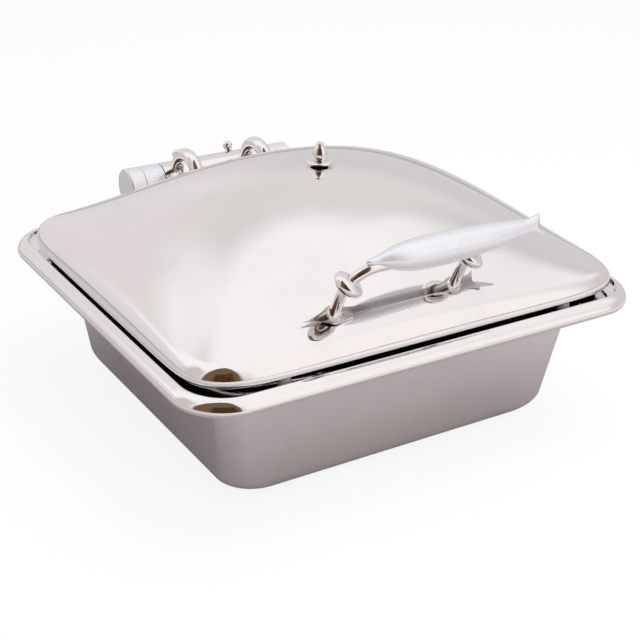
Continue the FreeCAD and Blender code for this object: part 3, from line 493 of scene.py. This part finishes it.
def buildLid(look):
    low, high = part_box("lid_dome")
    halfX, halfY, middleY, bottom = high.x, (high.y - low.y) / 2, (high.y + low.y) / 2, low.z
    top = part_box("finial_collar")[0].z
    hemTop = bottom + look["hem"]

    def squareRing(scale, shrink, z=None, drop=0.0):
        ring = []
        for turn in range(look["around"]):
            angle = (turn + 0.5) * math.tau / look["around"]
            c, s = math.cos(angle), math.sin(angle)
            power = look["squareness"]
            reach = (abs(c) ** power + abs(s) ** power) ** (-1 / power)
            u, v = c * reach * scale, s * reach * scale
            height = z if z is not None else hemTop - drop + domeHeight(look, u, v, top - hemTop)
            ring.append(Vector((u * (halfX - shrink), v * (halfY - shrink) + middleY, height)))
        return ring

    count, sheet = look["inward"], look["sheet"]
    # Rings stand closest at the hem, where the curve is tightest.
    steps = [math.sin(math.pi / 2 * (1 - (step / count) ** look["crowding"])) for step in range(count)]
    outside = [squareRing(scale, 0) for scale in steps]
    inside = [squareRing(scale, sheet, None, sheet) for scale in reversed(steps[1:])]
    hem = [squareRing(1, 0.0005, bottom), squareRing(1, 0.0001, bottom + 0.0003),
           squareRing(1, 0, bottom + 0.0007)]
    flange = [squareRing(1, sheet, bottom + sheet + 0.001),
              squareRing(1, sheet + 0.001, bottom + sheet), squareRing(1, look["flange"], bottom + sheet),
              squareRing(1, look["flange"] + 0.0004, bottom + sheet / 2),
              squareRing(1, look["flange"], bottom)]
    work = bmesh.new()
    rings = inside + flange + hem + outside
    rows = [[work.verts.new(point) for point in ring] for ring in rings]
    for lower, upper in zip(rows, rows[1:]):
        for index in range(look["around"]):
            after = (index + 1) % look["around"]
            work.faces.new((lower[index], lower[after], upper[after], upper[index]))
    for row, z in ((rows[0], top - sheet), (rows[-1], top)):
        centre = work.verts.new((0, middleY, z))
        for index in range(look["around"]):
            work.faces.new((row[index], row[(index + 1) % look["around"]], centre))
    bmesh.ops.recalc_face_normals(work, faces=work.faces)
    mesh = bpy.data.meshes.new("lid_dome_shell")
    work.to_mesh(mesh)
    work.free()
    piece = finishMesh("lid_dome_shell", mesh, finishes["polished_steel"], 50)
    return add(piece, "lid", "polished_steel", "lid_dome")


buildLid(lid)
print("lid made")


# Finial.

finial = {"discRadius": 0.012, "buttonRadius": 0.0064, "capRadius": 0.0034, "steps": 72}


def buildFinial(look):
    low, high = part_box("finial_disc")
    middleY, discLow, discTop = (low.y + high.y) / 2, low.z, high.z
    base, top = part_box("finial_collar")[0].z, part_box("finial_button")[1].z
    wide, ball, cap = look["discRadius"], look["buttonRadius"], look["capRadius"]
    collar = [(0.0026, base), (0.0043, base), (0.0043, discLow), (0.0026, discLow)]
    saucer = smoothProfile([(0.0055, discLow, 0), (0.0088, discLow + 0.0002, 0),
                            (wide - 0.0010, discLow + 0.0008, 0), (wide, discLow + 0.0017, 0),
                            (wide - 0.0010, discLow + 0.0026, 0),
                            (0.0088, discTop - 0.0003, 0), (0.0055, discTop, 0)], 6)
    saucer = [(0.0026, discLow)] + [(point.x, point.y) for point in saucer] + [(0.0026, discTop)]
    acorn = smoothProfile([(ball - 0.0006, discTop, 0), (ball, discTop + 0.0012, 0),
                           (ball, discTop + 0.0040, 0), (ball - 0.0005, discTop + 0.0070, 0),
                           (ball - 0.0017, discTop + 0.0100, 0),
                           (cap, top - 0.0028, 0), (cap - 0.0004, top - 0.0021, 0), (cap, top - 0.0014, 0),
                           (cap + 0.0001, top - 0.0006, 0), (cap - 0.0005, top, 0)], 6)
    acorn = [(0.0024, base - 0.0095), (0.0024, discTop)] + [(point.x, point.y) for point in acorn]
    for name, profile, old in (("finial_collar_turned", collar, "finial_collar"),
                               ("finial_disc_turned", saucer, "finial_disc"),
                               ("finial_button_turned", acorn, "finial_button")):
        rings = [[Vector((radius * math.cos(turn * math.tau / look["steps"]),
                          radius * math.sin(turn * math.tau / look["steps"]) + middleY, height))
                  for turn in range(look["steps"])] for radius, height in profile]
        piece = meshFromRings(name, rings, finishes["polished_steel"], loop=old != "finial_button",
                              sharpAngle=55)
        add(piece, "lid", "polished_steel", old)


buildFinial(finial)
print("finial made")


# Grip.

# Each station along the grip is (x, half depth, half height, rise above the axis).
grip = {"stations": ((-0.0660, 0.0012, 0.0012, 0.0022), (-0.0640, 0.0024, 0.0023, 0.0021),
                     (-0.0560, 0.0044, 0.0042, 0.0016), (-0.0430, 0.0087, 0.0085, 0.0008),
                     (-0.0300, 0.0115, 0.0115, 0.0002), (-0.0150, 0.0126, 0.0127, 0.0),
                     (0.0080, 0.0126, 0.0127, 0.0), (0.0280, 0.0120, 0.0121, 0.0),
                     (0.0480, 0.0107, 0.0109, 0.0003), (0.0660, 0.0086, 0.0090, 0.0006),
                     (0.0780, 0.0067, 0.0074, 0.0009), (0.0860, 0.0052, 0.0072, 0.0010),
                     (0.0930, 0.0040, 0.0086, 0.0010), (0.0975, 0.0034, 0.0102, 0.0010),
                     (0.0995, 0.0026, 0.0100, 0.0010), (0.1003, 0.0014, 0.0088, 0.0010)),
        "tailStart": 0.074, "notch": 0.0060, "sweep": 0.0035, "axisX": -0.0007, "axisY": -0.1811,
        "axisZ": 0.2071, "around": 48}


def buildGrip(look):
    curve = smoothStations(look["stations"], 5)
    end = curve[-1][0]
    axisX, axisY, axisZ = look["axisX"], look["axisY"], look["axisZ"]
    rings = []
    for x, depth, height, rise in curve:
        ring = []
        tail = max(0.0, (x - look["tailStart"]) / (end - look["tailStart"])) ** 2
        for turn in range(look["around"]):
            angle = turn * math.tau / look["around"]
            across, up = math.cos(angle), math.sin(angle)
            # Fish tail: the tips run on, the middle stays back, and the top tip leans back.
            shift = -look["notch"] * tail * (1 - abs(up) ** 1.5) - look["sweep"] * tail * up
            ring.append(Vector((axisX + x + shift, axisY + depth * across, axisZ + rise + height * up)))
        rings.append(ring)
    piece = meshFromRings("handle_grip_cast", rings, finishes["satin_metal"], sharpAngle=60)
    return add(piece, "lid", "satin_metal", "handle_grip")


def smoothStations(stations, steps):
    # The same curve as smoothProfile's, for rows of any length.
    rows = [stations[0]] + list(stations) + [stations[-1]]
    made = []
    for a, b, c, d in zip(rows, rows[1:], rows[2:], rows[3:]):
        for step in range(steps):
            t = step / steps
            made.append(tuple(0.5 * (2 * q + (r - p) * t + (2 * p - 5 * q + 4 * r - s) * t * t
                                     + (3 * q - p - 3 * r + s) * t ** 3)
                              for p, q, r, s in zip(a, b, c, d)))
    return made + [tuple(stations[-1])]


buildGrip(grip)
print("grip made")


# Studio: floor, light and camera.

studio = {"floorSize": 8.0, "floorColour": (0.93, 0.93, 0.93), "nearMirroredShade": (0.62, 0.57, 0.575),
          "farMirrored": (1.0, 0.96, 0.955), "fade": (0.22, 0.85), "shadow": 0.18, "glow": 1.06,
          "aim": (-0.0247, -0.0531, 0.0976), "distance": 1.18, "azimuth": -32.46, "elevation": 26.07,
          "roll": 1.64, "lens": 77.82,
          "softboxes": (("overhead", (0.3, -0.3, 1.8), (0.0, 0.0, 0.1), (1.8, 1.8), 14),
                        ("frontPanel", (0.2, -1.8, 0.9), (0, 0, 0.15), (1.6, 1.0), 8))}
# What the polished metal mirrors: soft patches of the room, laid one over the other. Each is (azimuth,
# elevation, half width, half height, edge softness, colour), in degrees; specks has no softness.
room = {"low": (0.73, 0.69, 0.69), "high": (1.00, 0.985, 0.98), "lowTilt": -5, "highTilt": 62,
        "strength": 1.0, "fill": 0.55,
        "patches": ((38, 10, 30, 34, 16, (0.69, 0.665, 0.66)), (62, 40, 34, 16, 14, (0.78, 0.745, 0.74)),
                    (128, 42, 20, 22, 9, (1.02, 1.00, 0.985)), (100, 12, 18, 24, 14, (0.80, 0.755, 0.755)),
                    (160, 22, 18, 26, 12, (0.66, 0.60, 0.59)), (-12, 8, 24, 22, 18, (0.70, 0.65, 0.645)),
                    (-60, 30, 16, 36, 10, (1.02, 0.97, 0.945)),
                    (-130, 36, 45, 50, 6, (0.17, 0.105, 0.060)),
                    (-118, 22, 24, 28, 12, (0.050, 0.030, 0.018))),
        "specks": (-128, 30, 38, 42, (0.42, 0.17, 0.06))}


def buildFloor(look):
    # Pale paper to the eye; what the metal mirrors of it is darker and greyer, with painted shade that
    # darkens it near the object.
    material, tree, shader = newMaterial("paperFloor")
    place = objectPlace(tree)
    fibre = noise(tree, place, 300.0, 6.0)
    lowTone = tuple(channel * 0.985 for channel in look["floorColour"])
    tree.links.new(mixColours(tree, fibre, lowTone, look["floorColour"]), shader.inputs["Base Color"])
    tree.links.new(remap(tree, fibre, 0, 1, 0.75, 0.9), shader.inputs["Roughness"])
    distance = node(tree, "ShaderNodeVectorMath", operation="LENGTH")
    tree.links.new(place, distance.inputs[0])
    # Painted shade: the floor's colour in reflections is darker near the object and fades out with distance.
    away = easeIn(tree, remap(tree, distance.outputs["Value"], *look["fade"], 0, 1))
    mirrored = tree.nodes.new("ShaderNodeBsdfDiffuse")
    tone = mixColours(tree, away, look["nearMirroredShade"], look["farMirrored"])
    tree.links.new(tone, mirrored.inputs["Color"])
    glow = node(tree, "ShaderNodeEmission", Color=(1, 1, 1, 1), Strength=look["glow"])
    paper = node(tree, "ShaderNodeMixShader", Fac=look["shadow"])
    tree.links.new(glow.outputs[0], paper.inputs[1])
    tree.links.new(shader.outputs[0], paper.inputs[2])
    seen = tree.nodes.new("ShaderNodeLightPath")
    choose = tree.nodes.new("ShaderNodeMixShader")
    tree.links.new(seen.outputs["Is Camera Ray"], choose.inputs[0])
    tree.links.new(mirrored.outputs[0], choose.inputs[1])
    tree.links.new(paper.outputs[0], choose.inputs[2])
    tree.links.new(choose.outputs[0], tree.nodes["Material Output"].inputs["Surface"])
    half = look["floorSize"] / 2
    work = bmesh.new()
    corners = ((-half, -half, 0), (half, -half, 0), (half, half, 0), (-half, half, 0))
    work.faces.new([work.verts.new(corner) for corner in corners])
    bmesh.ops.subdivide_edges(work, edges=work.edges[:], cuts=12, use_grid_fill=True)
    mesh = bpy.data.meshes.new("floor")
    work.to_mesh(mesh)
    work.free()
    finishMesh("floor", mesh, material)


def buildWorld(look):
    world = bpy.data.worlds.new("studio")
    bpy.context.scene.world = world
    world.use_nodes = True
    tree = world.node_tree
    tree.nodes.clear()
    place = tree.nodes.new("ShaderNodeTexCoord")
    parts = tree.nodes.new("ShaderNodeSeparateXYZ")
    tree.links.new(place.outputs["Generated"], parts.inputs[0])
    turn = maths(tree, "DEGREES", maths(tree, "ARCTAN2", parts.outputs["Y"], parts.outputs["X"]))
    tilt = maths(tree, "DEGREES", maths(tree, "ARCSINE", parts.outputs["Z"]))

    def patchMask(azimuth, elevation, halfWidth, halfHeight, soft):
        # 1 inside the patch, fading to 0 across its soft edge; azimuth wraps round at 180.
        away = maths(tree, "WRAP", maths(tree, "SUBTRACT", turn, azimuth), 180, -180)
        away = maths(tree, "ABSOLUTE", away)
        beside = remap(tree, away, halfWidth + soft / 2, halfWidth - soft / 2, 0, 1)
        above = maths(tree, "ABSOLUTE", maths(tree, "SUBTRACT", tilt, elevation))
        over = remap(tree, above, halfHeight + soft / 2, halfHeight - soft / 2, 0, 1)
        return maths(tree, "MULTIPLY", easeIn(tree, beside), easeIn(tree, over))

    climb = remap(tree, tilt, look["lowTilt"], look["highTilt"], 0, 1)
    colour = mixColours(tree, climb, look["low"], look["high"])
    for *where, tint in look["patches"]:
        colour = mixOver(tree, colour, patchMask(*where), tint)
    *where, tint = look["specks"]
    crumbs = noise(tree, place.outputs["Generated"], 16.0, 3.0, 0.6)
    warm = maths(tree, "MULTIPLY", patchMask(*where, 10), remap(tree, crumbs, 0.58, 0.70, 0, 0.8))
    colour = mixOver(tree, colour, warm, tint)
    walls = node(tree, "ShaderNodeBackground", Strength=look["strength"])
    tree.links.new(colour, walls.inputs["Color"])
    seen = tree.nodes.new("ShaderNodeLightPath")
    paper = tree.nodes.new("ShaderNodeBackground")  # white to the eye, softer as a light
    brightness = remap(tree, seen.outputs["Is Camera Ray"], 0, 1, look["fill"], 1)
    tree.links.new(brightness, paper.inputs["Strength"])
    choose = tree.nodes.new("ShaderNodeMixShader")
    tree.links.new(seen.outputs["Is Glossy Ray"], choose.inputs[0])
    tree.links.new(paper.outputs[0], choose.inputs[1])
    tree.links.new(walls.outputs[0], choose.inputs[2])
    output = tree.nodes.new("ShaderNodeOutputWorld")
    tree.links.new(choose.outputs[0], output.inputs[0])


def softbox(name, spot, aim, size, power):
    light = bpy.data.lights.new(name, "AREA")
    light.shape, light.size, light.size_y = "RECTANGLE", *size
    light.energy = power
    lamp = bpy.data.objects.new(name, light)
    bpy.context.scene.collection.objects.link(lamp)
    lamp.location = spot
    lamp.rotation_euler = (Vector(aim) - Vector(spot)).to_track_quat("-Z", "Y").to_euler()
    lamp.visible_glossy = False  # the room's soft patches are mirrored instead


def buildCamera(look):
    azimuth, elevation = math.radians(look["azimuth"]), math.radians(look["elevation"])
    forward = Vector((-math.sin(azimuth) * math.cos(elevation), math.cos(azimuth) * math.cos(elevation),
                      -math.sin(elevation)))
    right = forward.cross(Vector((0, 0, 1))).normalized()
    up = right.cross(forward)
    roll = math.radians(look["roll"])
    right, up = right * math.cos(roll) + up * math.sin(roll), up * math.cos(roll) - right * math.sin(roll)
    camera = bpy.data.cameras.new("camera")
    camera.lens, camera.sensor_width = look["lens"], 36
    holder = bpy.data.objects.new("camera", camera)
    bpy.context.scene.collection.objects.link(holder)
    turn = Matrix((right, up, -forward)).transposed().to_4x4()
    holder.matrix_world = Matrix.Translation(Vector(look["aim"]) - forward * look["distance"]) @ turn
    bpy.context.scene.camera = holder


buildFloor(studio)
buildWorld(room)
for box in studio["softboxes"]:
    softbox(*box)
buildCamera(studio)
bpy.context.scene.view_settings.view_transform = "Standard"
print("studio made")
